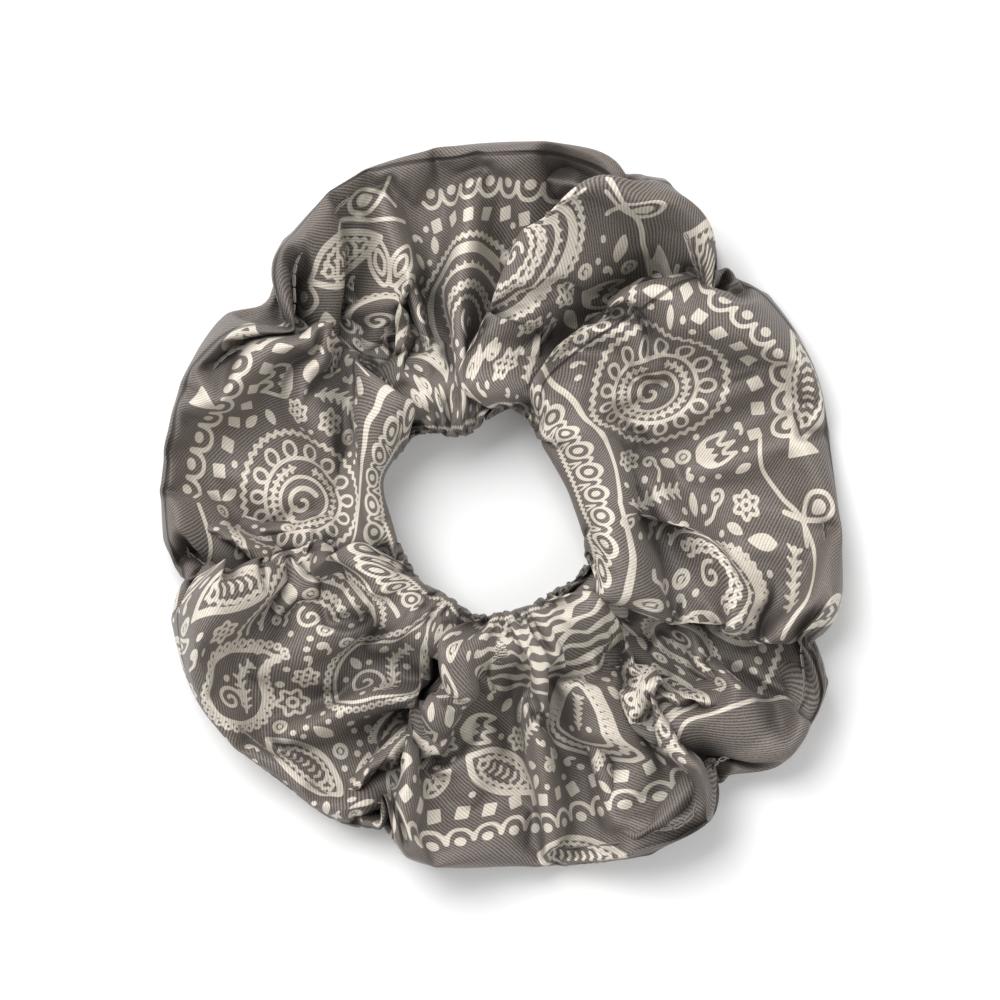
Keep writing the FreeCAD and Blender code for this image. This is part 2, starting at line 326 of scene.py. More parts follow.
def medallion(pen):
    """A round swirl: a curled centre, a thorny wreath, a ring of petals and a jagged outline."""
    lean = lambda a: 1 + 0.12 * np.cos(np.radians(a - 40))
    ring = lambda radius, *span: polar_curve(lambda a: radius * lean(a), *span)
    pen.stroke(spiral(0.5, 3.0, 420, 40), np.linspace(0.5, 0.9, 41))
    pen.stroke(place(polar_curve(1.0, 150, 330, 12) * [1.2, 0.8], -2.2, -1.4, 30), 0.5)
    pen.stroke(ring(5.0), 0.5)
    pen.barbs(ring(6.7, 20, 350), 1.5, (-0.75, 0.8), 0.3, [0.3, 0.75, 0.3])
    pen.stroke(ring(6.7, 20, 350), 0.35)
    pen.stroke(ring(8.5, 10, 370), 0.55)
    half = np.array([(8.6, -0.35), (9.9, -1.25), (11.3, -0.95), (11.8, 0)])
    petal = smooth(np.vstack([half, half[2::-1] * [1, -1]])) * [1, 0.95]
    for angle in (np.arange(15) + 0.5) * 360 / 15:
        pen.stroke(place(petal, 0, 0, angle, lean(angle)), 0.48)
    pen.stroke(jagged(ring(13.7, 0, 360, 120), 0.95, 0.5), 0.52, closed=True)


def dome(pen):
    """A fan of arcs: a sawtooth edge, a heavy crescent, a thorny line, a row of rings and a curl."""
    pen.teeth(polar_curve(12.9, -12, 205, 60), 0.85, 0.42, 0.5)
    pen.stroke(polar_curve(11.2, -8, 200, 40), 0.4 + 1.5 * np.sin(np.linspace(0, np.pi, 41)) ** 1.5)
    arc = polar_curve(8.7, -5, 190, 40)
    pen.stroke(arc, 0.6)
    for at, way in zip(*resample(pen.at(arc), 1.9)):
        pen.canvas.stroke([at, at - 0.9 * leftward(way) * pen.flip], [0.6, 0.3])
    pen.beads(polar_curve(6.3, 0, 180, 30), 1.8, 0.68, 0.4)
    pen.teeth(polar_curve(4.6, -5, 185, 30), 0.8, 0.3, 0.45)
    pen.stroke(spiral(0.4, 1.9, 420, 30) + [0, 0.8], 0.5)


def tulip(pen):
    """A small three-pointed tulip in outline, with a solid base."""
    side = smooth([(0, -2.9), (-1.9, -2.0), (-2.5, 0), (-2.0, 2.6)], steps=5)
    crown = [(-1.1, 0.9), (-0.55, 1.1), (0, 3.1), (0.55, 1.1), (1.1, 0.9)]
    pen.stroke(np.vstack([side, crown, side[::-1] * [-1, 1]]), 0.52, closed=True)
    half = np.array([(0, -2.9), (-1.8, -2.1), (-2.4, -0.6), (-1.2, -1.1), (-0.6, 0.1), (0, -1.0)])
    pen.fill(np.vstack([half, half[4:0:-1] * [-1, 1]]))


def arrowhead(pen):
    """A triangle in two lines, beaded between them, with a sprig inside."""
    outline = smooth([(-7.2, -6.5), (7.2, -6.5), (0.0, 9.0)], closed=True, steps=6)
    pen.stroke(outline, 0.75, closed=True)
    pen.stroke(outline * 0.66, 0.5, closed=True)
    pen.beads(rejoined(outline * 0.83), 1.5, 0.42, 0.32)
    pen.sprig([(0, -3.0), (0.3, -0.5), (0, 3.6)], 1.3, 1.2, 0.45)


def petals(pen):
    """Three long petals fanned out from one point, in double outline."""
    corners = [(0, -4.6), (2.0, -0.6), (1.7, 2.8), (0, 5.4), (-1.7, 2.8), (-2.0, -0.6)]
    petal = smooth(corners, closed=True, steps=6)
    for turn in (-44, 0, 44):
        for scale, width in ((1.0, 0.55), (0.5, 0.5)):
            pen.stroke(place(petal * scale + [0, 6.2], 0, -6, turn), width, closed=True)


def scrap(pen):
    """A small solid three-cornered piece."""
    pen.fill([(-2.4, -1.8), (2.8, -1.2), (0.6, 3.6)])


def leaf(pen):
    """A pointed leaf: a heavy outline, a jagged inner line and a broken midrib."""
    half = smooth([(-10, 0), (-5.6, 3.36), (1, 4), (6, 2.24), (10, 0)])
    outline = np.vstack([half, half[::-1] * [1, -1]])
    pen.stroke(outline, 0.95, closed=True)
    pen.teeth(outline * [0.74, 0.66], 0.8, 0.28, 0.42)
    pen.barbs([(-5.6, 0), (5.6, 0)], 1.5, (-0.9, 0.9), 0.5, 0.42)


def leaflet(pen):
    """A small leaf with veins."""
    half = smooth([(-4.2, 0), (-1.8, 1.6), (1.4, 1.5), (4.4, 0)], steps=6)
    pen.stroke(np.vstack([half, half[::-1] * [1, -1]]), 0.5, closed=True)
    pen.stroke([(-4.2, 0), (2.2, 0)], 0.35)
    for k in (-1.6, 0.0, 1.5):
        pen.stroke([(k + 0.8, 0.8), (k, 0), (k + 0.8, -0.8)], 0.35)


def ribbon_end(pen):
    """A loop of line round a filled drop, as a ribbon's end."""
    pen.stroke(smooth([(-3.2, -2.6), (-1.2, -0.2), (1.9, 2.0), (4.0, 1.5), (4.3, -0.6), (2.4, -2.0),
                       (-0.4, -0.9), (-3.0, 2.4)]), 0.6)
    pen.fill(smooth([(0.7, 0.1), (2.2, 1.1), (3.2, 0.6), (3.0, -0.5), (2.0, -0.8)], closed=True, steps=4))


def paisley(pen):
    """A curled drop: a row of rings round a line, with a spiral and a sprig inside."""
    corners = [(0, -9), (5.2, -7.6), (7.6, -3), (7.2, 2.4), (4.2, 6.6), (0.2, 8.8), (-4.2, 10.6),
               (-7.6, 9.6), (-6.0, 8.6), (-4.6, 6.4), (-4.9, 2.6), (-6.2, -2.0), (-4.8, -6.8)]
    centre = np.array([0.6, -0.8])
    spread = smooth(corners, closed=True) - centre
    pen.beads(rejoined(centre + spread * 1.02), 1.7, 0.62, 0.3)
    pen.stroke(centre + spread * 0.86, 0.55, closed=True)
    pen.stroke(place(spiral(0.5, 2.3, 500, 40), 1.6, -2.8, 40), 0.5)
    pen.sprig([(-2.0, -5.2), (-1.7, -1.0), (-0.4, 2.2), (-1.8, 5.6)], 1.4, 1.5, 0.42)


def flower(pen):
    """A small round flower in outline."""
    pen.stroke(polar_curve(lambda a: 2.1 + 0.45 * np.cos(np.radians(6 * a)), steps=48), 0.45)
    pen.stroke(polar_curve(0.8, steps=12), 0.45)


def curl(pen):
    """A small spiral tendril with a tail."""
    coil = spiral(0.35, 1.35, 400, 24)
    tail = smooth([coil[-1], coil[-1] + [0.4, 1.6], coil[-1] + [-0.6, 3.4]])
    pen.stroke(np.vstack([coil, tail]), 0.5)


def scroll(pen):
    """An S of line, curled into a spiral at both ends."""
    coil = spiral(0.35, 1.5, 430, 30) - [3.0, 0]
    bend = smooth([coil[-1], [-0.6, 1.4], [0.6, -1.4], -coil[-1]])
    pen.stroke(np.vstack([coil, bend, -coil[::-1]]), 0.5)
    for side in (-1, 1):
        pen.stroke([(0.5 * side, 0), (1.9 * side, 2.4)], 0.42)


def twig(pen):
    """A short bent sprig."""
    pen.sprig([(0, -6), (0.8, -2), (0, 2), (-1.6, 6)])


def ringlet(pen):
    """A small ring with a dot in it."""
    pen.stroke(polar_curve(1.5, steps=18), 0.5)
    pen.dot(0.45)


def point(pen):
    """A dot."""
    pen.dot(0.62)


def ring_chain(c, start, end, v, pitch=8.2):
    """Linked oval rings, each with a small centre, along part of the hole edge, and a line beyond them.

    They are drawn wide, because the cloth there is gathered to about half its length.
    """
    along = np.arange(start, end, 1.0)
    c.stroke(np.stack([along, v + 3.9 + 0.3 * np.sin(along * 0.15)], 1), 0.6)
    for u in np.arange(start, end, pitch):
        ring, link = Pen(c, u, v, -12), Pen(c, u + pitch / 2, v)
        ring.stroke(polar_curve(1.5, steps=22) * [1.95, 1.15], 0.52)
        ring.stroke(polar_curve(0.5, steps=8) * [1.7, 0.9], 0.42)
        link.stroke(smooth([(2.9 - pitch / 2, 0.6), (0, 1.2), (pitch / 2 - 2.9, 0.3)], steps=4), 0.4)
        link.stroke([(-0.9, -2.4), (0, -0.6), (0.9, -2.4)], 0.4)


def border(c, start, end, height):
    """A scalloped line, hollow towards the rim, with a dot in each arc and a rough square before it."""
    pitch = 4.7
    line = []
    for u in np.arange(start, end - pitch, pitch):
        v = height(u + pitch / 2)
        scallop = ((0, 1.6), (0.1, -0.2), (0.32, -1.4), (0.68, -1.4), (0.93, -0.1))
        line += [(u + share * pitch, v + rise) for share, rise in scallop]
        c.dot(u + pitch / 2, v + 1.3, 0.9)
        square = Pen(c, u + pitch / 2, v - 4.9 + 0.3 * math.sin(2.1 * u), 38 + 14 * math.sin(1.7 * u))
        square.fill([(0, -1.7), (1.45, 0.1), (0.1, 1.7), (-1.45, -0.1)])
    c.stroke(smooth(line, steps=4), 0.58)


def stripes(c, start, end, low, high):
    """Long uneven lines side by side along part of the strip."""
    u = np.linspace(start, end, 60)
    for k, v in enumerate(np.arange(low, high, 1.9)):
        wave = 0.5 * np.sin(u * 0.33 + k) + 0.25 * np.sin(u * 0.9 + 2.3 * k)
        c.stroke(np.stack([u, v + wave], 1), 0.62 + 0.28 * np.sin(u * 0.5 + 1.7 * k))


def band_line(c, height, step=1.0, width=0.62, tooth=0.0):
    """A line along the whole strip at height(u), straight or as a sawtooth."""
    count = round(c.length / step / 2) * 2
    u = np.arange(count + 1) * c.length / count
    v = height(u) + tooth * np.where(np.arange(count + 1) % 2, 1, -1)
    c.stroke(np.stack([u, v], 1), width)


# What is printed on the upper side: for each motif its places along the strip (as if it were STRIP_LENGTH
# long) and across it in mm, its turns in degrees and its sizes.
SHOWN_MOTIFS = {
    medallion: ((42, 25, 30, 1.0), (57, 22, 40, 0.9), (172, 27, 170, 1.0), (298, 30, 110, 0.75)),
    dome: ((9, 26, -40, 1.0), (77, 32, 102, 1.1), (104, 18, -5, 1.45), (144, 27, 140, 1.0),
           (208, 27, 106, 1.15)),
    paisley: ((127, 26, 86, 0.9), (188, 36, 104, 0.85), (212, 46, 135, 1.0), (223, 22, 150, 1.4),
              (238, 24, 60, 1.0), (319, 24, 60, 0.9)),
    leaf: ((34, 54, 15, 1.0), (4, 54, 70, 0.8), (62, 52, 160, 0.9), (117, 19, -123, 0.9),
           (127, 45, -163, 1.0), (151, 51, 136, 0.9), (201, 43, -98, 0.9), (227, 50, 6, 1.0),
           (248, 46, -39, 1.0), (265, 36, 30, 0.9), (277, 55, 8, 1.0)),
    petals: ((2, 42, -95, 1.0), (119, 35, 58, 1.0), (238, 42, -93, 0.9), (309, 30, -129, 0.9)),
    tulip: ((28, 34, -20, 1.3), (67, 30, 70, 1.3), (157, 37, -15, 1.3), (261, 26, -75, 1.2)),
    twig: ((24, 19, -15, 1.0), (11, 45, -97, 0.9), (69, 15, -20, 1.0), (80, 13, -60, 0.9),
           (157, 20, -168, 1.1), (184, 17, 60, 1.0), (273, 27, -134, 0.9), (321, 42, 30, 1.0)),
    ribbon_end: ((17, 50, 60, 1.2), (70, 47, 140, 1.2), (118, 50, 5, 1.2)),
    scrap: ((26, 51, -100, 1.2), (65, 41, -50, 1.2), (160, 52, 77, 1.1)),
    curl: ((17, 12, 0, 1.2), (253, 12, 20, 1.2)),
    arrowhead: ((285, 26, -150, 1.15),),
    flower: ((218, 40, 0, 1.2),),
}
ROW_DOTS = ((209, 38.5), (211.8, 39.6), (214.6, 39.2), (226, 35.5), (228.6, 36.5), (231.2, 36.3))
RING_STRETCHES = ((-3, 56), (146, 214), (236, 250))
STRIPES_STRETCH = (258, 301)
# How far across the strip the border runs, at places along it, and the stretches where it is printed.
BORDER_PLACES = (
    (0, 44), (24, 46), (42, 50), (60, 44), (95, 45), (112, 46), (140, 45), (160, 47), (172, 51), (192, 49),
    (250, 50), (275, 46), (300, 42),
)
BORDER_STRETCHES = ((27.5, 66), (73, 114), (132, 176), (252, 306))
# Long loose lines that run on from the border, as places along and across the strip.
TRAILS = (
    ((28, 43), (23.5, 42.5), (19.5, 45), (17, 48), (13.5, 49.5), (10, 49), (5, 46)),
    ((72.5, 49), (69, 46), (67, 41), (64.5, 36), (62, 33)),
    ((176, 50), (180, 48), (184, 50), (190, 54)),
    ((130, 44), (125, 50), (120, 46), (115, 43)),
    ((307, 41), (311, 38), (315, 42), (320, 50)),
)
# Where along the strip the print goes on past the border, over the rim.
PATTERNED_RIM = (196, 252)
# About how far apart the paisleys of the other side are.
UNDER_PITCH = 27.5
# What fills the gaps: how wide a gap in mm, how many places are tried, and the motifs to choose from.
FILLERS = (
    (11.5, 900, (medallion, paisley)),
    (8.6, 1800, (paisley, petals, leaf)),
    (6.2, 3000, (scroll, leaflet, twig, petals)),
    (4.4, 6000, (scroll, leaflet, curl)),
    (3.0, 9000, (curl, leaflet, flower)),
    (1.9, 12000, (ringlet, curl, leaflet)),
    (1.2, 12000, (point,)),
)
# How far each of them reaches from its middle, in mm at size 1.
FILLER_REACH = {
    medallion: 15.3, paisley: 11.4, petals: 8.6, leaf: 10.6, scroll: 4.9, leaflet: 4.5,
    twig: 6.6, curl: 4.2, flower: 2.6, ringlet: 1.8, point: 0.9,
}


def print_upper(c, along, border_v):
    """The side that shows from above."""
    for start, end in RING_STRETCHES:
        ring_chain(c, along(start), along(end), 7.4)
    for motif, spots in SHOWN_MOTIFS.items():
        for u, v, turn, size in spots:
            motif(Pen(c, along(u), v, turn, size))
    for u, v in ROW_DOTS:
        c.dot(along(u), v, 0.75)
    for start, end in BORDER_STRETCHES:
        border(c, along(start), along(end), border_v)
    for trail in TRAILS:
        c.stroke(smooth([(along(u), v) for u, v in trail]), 0.6)
    stripes(c, *[along(u) for u in STRIPES_STRETCH], 6.0, 18.0)
    band_line(c, lambda u: 4.2 + 0.3 * np.sin(u * 0.11), 0.9, 0.45, 0.35)


def print_under(c):
    """The other side: paisleys between leaves, flowers and tendrils."""
    count = 2 * round(c.length / UNDER_PITCH / 2)
    pitch = c.length / count
    band_line(c, lambda u: 71.0 + 0 * u, 0.9, 0.52, 0.42)
    band_line(c, lambda u: 104.5 + 1.2 * np.sin(u * 2 * np.pi / pitch))
    for k in range(count):
        u = k * pitch
        flip = -1 if k % 2 else 1
        paisley(Pen(c, u + 8.0, 87.0, 90 - 82 * flip, 1.0, flip))
        leaf(Pen(c, u + 21.5, 83.5, 80, 0.8))
        flower(Pen(c, u + 20.5, 96.0))
        curl(Pen(c, u + 15.0, 99.0, 40, 1.0, flip))
        twig(Pen(c, u + 24.5, 98.0, 60, 0.7))
        for step in range(4):
            c.dot(u + 14.5 + 2.6 * step, 74.0, 0.7)


def fill_gaps(c, along, border_v):
    """Small motifs strewn over the empty ground, the large ones first, but not on the plain rim."""
    chance = np.random.RandomState(7)
    patterned = [along(u) for u in PATTERNED_RIM]
    for reach, tries, motifs in FILLERS:
        for _ in range(tries):
            u, v = chance.uniform(0, c.length), chance.uniform(6, 104)
            motif, turn = motifs[chance.randint(len(motifs))], chance.uniform(0, 360)
            plain = border_v(u) - 5 < v < 72 and not patterned[0] < u < patterned[1]
            if not plain and c.is_empty(u, v, reach):
                motif(Pen(c, u, v, turn, (reach - 0.4) / FILLER_REACH[motif]))


def make_print(length, along):
    """The whole print on cloth of a length, where along(u) is the real place of a nominal one.

    Returns the signed distance in mm from each cell to the nearest cream edge.
    """
    places, heights = zip(*BORDER_PLACES)
    real = [along(u) for u in places]
    border_v = lambda u: np.interp(u, real, heights, period=length)
    c = Canvas(length)
    print_upper(c, along, border_v)
    print_under(c)
    fill_gaps(c, along, border_v)
    return c.distance


# ---- The part's own outline ----

def cad_points(*names):
    """The vertices of some CAD nodes, in mm."""
    found = [np.array([v.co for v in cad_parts[name].data.vertices]) for name in names]
    return np.vstack(found) / MM


COVER_POINTS = cad_points("cover_left", "cover_right")
COVER_HEIGHT = COVER_POINTS[:, 2].max()
HOLE, RIM = outline_of(COVER_POINTS, 60, 1.0)
NOTCH_WIDTH = 4.5


def outline_lines():
    """The hole's and the rim's radius at each degree in mm, the rim notched at the creases."""
    degrees = np.arange(360)
    hole, rim = (smooth_round(around(line, degrees), 3.0) for line in (HOLE, RIM))
    for _, at_rim, drawn, *_ in CREASES:
        away = (degrees - at_rim + 180) % 360 - 180
        rim = rim - drawn * np.exp(-((away / NOTCH_WIDTH) ** 2))
    return hole, rim


def crease_places():
    """Where the creases sit along the strip, and their directions at the hole, with the first also last."""
    at_hole, at_rim = (np.array([c[k] for c in CREASES] + [CREASES[0][k] + 360.0]) for k in (0, 1))
    spare = STRIP_LENGTH - CREASE_CLOTH * len(CREASES)
    lengths = spare * np.diff(at_rim) / 360 + CREASE_CLOTH
    return np.concatenate([[0], np.cumsum(lengths)]), at_hole


HOLE_LINE, RIM_LINE = outline_lines()
CREASE_U, HOLE_ANGLES = crease_places()


# ---- Objects made from points ----

def add_object(name, data):
    """A new object in the scene."""
    thing = bpy.data.objects.new(name, data)
    bpy.context.scene.collection.objects.link(thing)
    return thing


def new_mesh(name, points, faces):
    """A smooth-shaded mesh object from points in metres."""
    mesh = bpy.data.meshes.new(name)
    mesh.from_pydata(np.asarray(points).reshape(-1, 3).tolist(), [], faces)
    mesh.polygons.foreach_set("use_smooth", np.ones(len(mesh.polygons), bool))
    return add_object(name, mesh)


def square_floor(name, reach):
    """A flat square at height 0 that reaches some metres each way."""
    corners = [(-reach, -reach, 0), (reach, -reach, 0), (reach, reach, 0), (-reach, reach, 0)]
    return new_mesh(name, corners, [(0, 1, 2, 3)])


def grid_faces(columns, rows):
    """Quads of a grid closed both ways, facing out of the tube."""
    index = np.arange(columns * rows).reshape(columns, rows)
    along = np.roll(index, -1, 0)
    corners = [index, np.roll(index, -1, 1), np.roll(along, -1, 1), along]
    return np.stack(corners, -1).reshape(-1, 4).tolist()


# ---- The gather: a tube of cloth drawn in at the creases and settled on the floor ----

# The cloth is simulated at ten times life size, which suits the solver better.
LIFE_SIZE = 10.0
GATHER_FRAMES, SETTLE_FRAMES, GATHER_STEPS = 50, 30, 5
HOLE_INSET, RIM_INSET = 3.5, 2.0
LOOSE_RADIUS, LOOSE_WIDE, LOOSE_TALL = 57.0, 20.0, 15.0
HOLE_PIN_HEIGHT, RIM_PIN_HEIGHT, VALLEY_HEIGHT = 8.0, 7.0, 4.0
# Pins along each crease's valley: their share of the way from hole to rim, and of the way round the tube.
VALLEY_PINS = ((0.33, 0.17), (0.66, 0.33))
CLOTH_SETTINGS = {
    "quality": 5, "mass": 0.3, "tension_stiffness": 20, "compression_stiffness": 20, "shear_stiffness": 5,
    "bending_stiffness": 8, "tension_damping": 5, "compression_damping": 5, "shear_damping": 5,
    "bending_damping": 0.5, "air_damping": 3, "vertex_group_mass": "pinned", "pin_stiffness": 1,
    "use_pressure": True, "uniform_pressure_force": -6,
}
CONTACT_SETTINGS = {
    "use_collision": True, "collision_quality": 3, "distance_min": 0.004,
    "use_self_collision": True, "self_distance_min": 0.006, "self_friction": 3,
}


def bunch(share, power):
    """A share of a lobe moved towards the nearer crease, so that cloth bunches there."""
    return share**power / (share**power + (1 - share) ** power)


def loose_tube():
    """The strip as a smooth, wide tube above the floor, before it is gathered."""
    u = np.arange(COLUMNS) / COLUMNS * STRIP_LENGTH
    lobe = np.searchsorted(CREASE_U, u, side="right") - 1
    share = (u - CREASE_U[lobe]) / np.diff(CREASE_U)[lobe]
    hole_angle = HOLE_ANGLES[lobe] + np.diff(HOLE_ANGLES)[lobe] * bunch(share, 1.35)
    turn = np.mean(hole_angle - u / STRIP_LENGTH * 360)
    t = np.linspace(0, 2 * np.pi, 4001)
    steps = np.hypot(LOOSE_WIDE * np.diff(np.cos(t)), LOOSE_TALL * np.diff(np.sin(t)))
    arc = np.concatenate([[0], np.cumsum(steps)])
    round_tube = np.interp(np.arange(ROWS) / ROWS * arc[-1], arc, t)
    size = STRIP_WIDTH / arc[-1]
    radius = LOOSE_RADIUS - LOOSE_WIDE * size * np.cos(round_tube)
    x, y = polar(radius[None, :], (u / STRIP_LENGTH * 360 + turn)[:, None])
    z = np.broadcast_to(LOOSE_TALL * size * np.sin(round_tube) + LOOSE_TALL + 1, x.shape)
    return np.stack([x, y, z], -1)


def pinned_places():
    """What draws the tube in: column and row on the grid, then the radius, angle and height it ends at."""
    column = lambda u: round(u / STRIP_LENGTH * COLUMNS) % COLUMNS
    places = []
    for k, (at_hole, at_rim, drawn, _, shares, power) in enumerate(CREASES):
        crease = column(CREASE_U[k])
        hole = around(HOLE, at_hole) + HOLE_INSET + 1
        rim = around(RIM, at_rim) - RIM_INSET - drawn
        places.append((crease, 0, hole, at_hole, HOLE_PIN_HEIGHT))
        places.append((crease, ROWS // 2, rim, at_rim, RIM_PIN_HEIGHT))
        for share, row in VALLEY_PINS:
            angle = at_hole + (at_rim - at_hole) * share
            places.append((crease, round(row * ROWS), hole + (rim - hole) * share, angle, VALLEY_HEIGHT))
        for share in shares:
            u = CREASE_U[k] + (CREASE_U[k + 1] - CREASE_U[k]) * share
            angle = HOLE_ANGLES[k] + (HOLE_ANGLES[k + 1] - HOLE_ANGLES[k]) * bunch(share, power)
            height = HOLE_PIN_HEIGHT + math.sin(7.3 * u)
            places.append((column(u), 0, around(HOLE, angle) + HOLE_INSET, angle, height))
    return places


def drawn_in(tube, places, share):
    """The tube with its pinned points part of the way to where they end."""
    drawn = tube.copy()
    for i, j, radius, angle, height in places:
        x, y, z = tube[i, j]
        now = math.degrees(math.atan2(y, x))
        turn = (angle - now + 180) % 360 - 180
        x, y = polar(math.hypot(x, y) * (1 - share) + radius * share, now + turn * share)
        drawn[i, j] = (x, y, z * (1 - share) + height * share)
    return drawn


def key_gather(cloth, tube, places):
    """Shape keys that walk the pinned points from the loose tube to their places."""
    cloth.shape_key_add(name="loose")
    for step in range(1, GATHER_STEPS + 1):
        key = cloth.shape_key_add(name=f"drawn_{step}", from_mix=False)
        drawn = drawn_in(tube, places, step / GATHER_STEPS)
        key.data.foreach_set("co", (drawn * MM * LIFE_SIZE).ravel())
        for at, value in ((step - 1, 0), (step, 1), (step + 1, 0)):
            if at <= GATHER_STEPS:
                key.value = value
                key.keyframe_insert("value", frame=1 + at * GATHER_FRAMES / GATHER_STEPS)
    for curve in cloth.data.shape_keys.animation_data.action.fcurves:
        for keyframe in curve.keyframe_points:
            keyframe.interpolation = "LINEAR"


def set_all(thing, settings):
    """Gives a thing each of some named settings."""
    for name, value in settings.items():
        setattr(thing, name, value)


def set_cloth(cloth):
    """A soft cloth at half weight, sucked flat, that rests on the floor and on itself."""
    modifier = cloth.modifiers.new("Cloth", "CLOTH")
    set_all(modifier.settings, CLOTH_SETTINGS)
    set_all(modifier.collision_settings, CONTACT_SETTINGS)
    modifier.settings.effector_weights.gravity = 0.5
    return modifier


def gather():
    """Simulates the tube as it is drawn in, and returns the settled grid of points in mm."""
    tube, places = loose_tube(), pinned_places()
    cloth = new_mesh("loose_tube", tube * MM * LIFE_SIZE, grid_faces(COLUMNS, ROWS))
    group = cloth.vertex_groups.new(name="pinned")
    group.add([place[0] * ROWS + place[1] for place in places], 1.0, "REPLACE")
    key_gather(cloth, tube, places)
    modifier = set_cloth(cloth)
    ground = square_floor("gather_floor", 3.0)
    ground.modifiers.new("Collision", "COLLISION")
    ground.collision.thickness_outer = 0.005
    scene = bpy.context.scene
    last = GATHER_FRAMES + SETTLE_FRAMES + 1
    scene.frame_start, scene.frame_end = 1, last
    modifier.point_cache.frame_end = last
    for at in range(1, last + 1):
        scene.frame_set(at)
    settled = cloth.evaluated_get(bpy.context.evaluated_depsgraph_get()).data
    points = np.empty(len(settled.vertices) * 3)
    settled.vertices.foreach_get("co", points)
    bpy.data.objects.remove(cloth)
    bpy.data.objects.remove(ground)
    scene.frame_set(1)
    return points.reshape(COLUMNS, ROWS, 3) / (MM * LIFE_SIZE)


# ---- The settled cloth, fitted to the part ----

ELASTIC_RADIUS, ELASTIC_HEIGHT = 23.05, 12.0
CASING_RISE, CASING_ARC = 5.2, 6.5
CASING_NEAR, CASING_FAR = 7.0, 18.0
FRILL_BLUR, FRILL_KEPT = 6.7, 0.45
LAP_WIDTH, LAP_DIP, LAP_BULGE = 6.0, 8.0, 3.0
CLEAR_OUT, CLEAR_UP = 2.3, 4.3
OUTLINE_BLUR = 2.5


def blurred(points, width):
    """The cloth smoothed along the strip by a width in mm."""
    return smooth_round(points, width / STRIP_LENGTH * len(points))


def from_hole_edge(rows):
    """Each row's distance across the cloth from the hole edge in mm: above it positive, below negative."""
    v = np.arange(rows) / rows * STRIP_WIDTH
    return np.where(v < STRIP_WIDTH / 2, v, v - STRIP_WIDTH)


def fit_height(points):
    """Rests the cloth on the floor and scales it to the cover's height."""
    z = points[..., 2]
    fitted = points.copy()
    fitted[..., 2] = (z - z.min()) * COVER_HEIGHT / (z.max() - z.min())
    return fitted


def case_elastic(points):
    """Wraps the cloth nearest the hole round the elastic, and calms its frills there."""
    low = blurred(points, FRILL_BLUR)
    v = from_hole_edge(points.shape[1])[None, :]
    near = 1 - ease(np.abs(v), CASING_NEAR, CASING_FAR)
    radius, angle, z = to_polar(low)
    reach = ELASTIC_RADIUS - around(HOLE_LINE, angle)
    turn = np.clip(v / CASING_ARC, -np.pi / 2, np.pi / 2)
    past = np.maximum(np.abs(v) - CASING_ARC * np.pi / 2, 0)
    case_radius = ELASTIC_RADIUS - reach * np.cos(turn) + past
    case_z = ELASTIC_HEIGHT + CASING_RISE * np.sin(turn)
    cased = from_polar(radius + (case_radius - radius) * near, angle, z + (case_z - z) * near)
    kept = 1 - (1 - FRILL_KEPT) * near
    return cased + (points - low) * kept[..., None]


def folds():
    """Every fold as its places along the strip near and far from the hole, its reach across, and its lap."""
    creases = [(u, u, 4, STRIP_WIDTH / 2, crease[3]) for u, crease in zip(CREASE_U, CREASES)]
    return creases + SMALL_FOLDS


def lap_folds(points):
    """Folds the upper cloth on one side of each fold over the cloth on its other side."""
    columns, rows = points.shape[:2]
    u = np.arange(columns)[:, None] / columns * STRIP_LENGTH
    v = from_hole_edge(rows)[None, :]
    low = blurred(points, 4.0)
    way = unit((np.roll(low, -6, 0) - np.roll(low, 6, 0)) * [1, 1, 0])
    lapped = points.copy()
    for near_u, far_u, near_v, far_v, lap in folds():
        side, lap = np.sign(lap), abs(lap)
        width = LAP_WIDTH * (0.35 + 0.65 * lap / 8)
        middle = near_u + (far_u - near_u) * np.clip((v - near_v) / (far_v - near_v), 0, 1)
        s = side * ((u - middle + STRIP_LENGTH / 2) % STRIP_LENGTH - STRIP_LENGTH / 2) / width
        upper = ease(v, near_v - 2, near_v + 6) * (1 - ease(v, far_v - 9, far_v))
        back = -side * lap * s * np.exp(0.5 - s * s / 2) * upper
        rise = LAP_BULGE * np.exp(-(((s - 1.6) / 1.4) ** 2)) - LAP_DIP * np.exp(-(((s + 1.2) / 1.2) ** 2))
        lapped += back[..., None] * way
        lapped[..., 2] += rise * upper * lap / 8
    return lapped


def fit_outline(points):
    """Slides the cloth in or out along each radius, so that its hole and rim follow the part's outline."""
    least, greatest = outline_of(points.reshape(-1, 3), 360, OUTLINE_BLUR)
    radius, angle, z = to_polar(points)
    share = (radius - around(least, angle)) / (around(greatest, angle) - around(least, angle))
    hole, rim = around(HOLE_LINE, angle), around(RIM_LINE, angle)
    return from_polar(hole + (rim - hole) * share, angle, z)


def clear_elastic(points):
    """Keeps upper cloth above the elastic and lower cloth below it, then pushes away any still too near."""
    radius, angle, z = to_polar(points)
    out = radius - ELASTIC_RADIUS
    v = from_hole_edge(points.shape[1])[None, :]
    rise = CLEAR_UP * np.sqrt(np.clip(1.3 - (out / CLEAR_OUT / 1.3) ** 2, 0, None))
    z = np.where((v > CASING_ARC) & (rise > 0), np.maximum(z, ELASTIC_HEIGHT + rise), z)
    z = np.where((v < -CASING_ARC) & (rise > 0), np.minimum(z, ELASTIC_HEIGHT - rise), z)
    up = z - ELASTIC_HEIGHT
    away = np.maximum(np.hypot(out / CLEAR_OUT, up / CLEAR_UP), 1e-6)
    grown = (away**4 + 1) ** 0.25 / away
    return from_polar(ELASTIC_RADIUS + out * grown, angle, ELASTIC_HEIGHT + up * grown)


# ---- The cover's mesh, with the print and the weave laid on it ----

